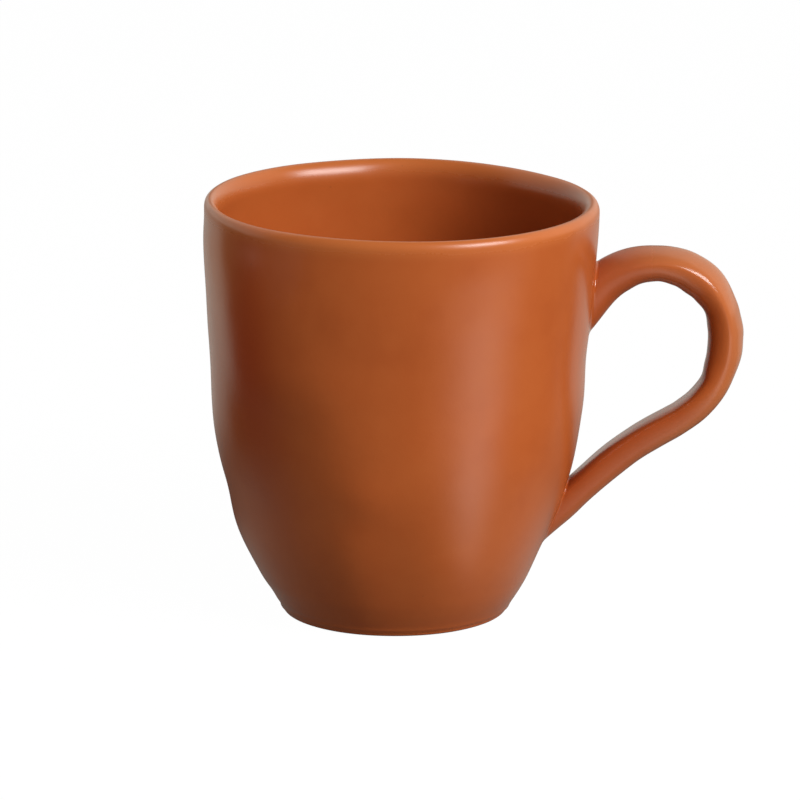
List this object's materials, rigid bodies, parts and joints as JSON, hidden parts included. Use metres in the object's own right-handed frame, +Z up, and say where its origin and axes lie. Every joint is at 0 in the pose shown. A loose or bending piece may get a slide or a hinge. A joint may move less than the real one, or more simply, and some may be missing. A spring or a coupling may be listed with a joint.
{
  "type": "clay mug",
  "caption": "Hand-formed satin-glazed clay mug with a softly pressed round wall, a narrow foot ring and a pulled strap handle stuck on with slip.",
  "frame": {"origin": "middle of the foot ring's standing face, on the table", "axes": "+Z up along the cup's axis, +X towards the handle, +Y to the back of the cup as pictured"},
  "size_m": [0.1201, 0.088, 0.0936],
  "materials": {
    "terracotta_glaze": "satin",
    "joint_slip": "satin",
    "bare_clay": "matte"
  },
  "bodies": {
    "root": {"foot_ring": "bare_clay", "base_slab": "terracotta_glaze", "base_slip": "joint_slip", "cup_wall": "terracotta_glaze", "corner_coil": "terracotta_glaze", "handle": "terracotta_glaze", "upper_handle_slip": "joint_slip", "lower_handle_slip": "joint_slip"}
  },
  "joints": []
}
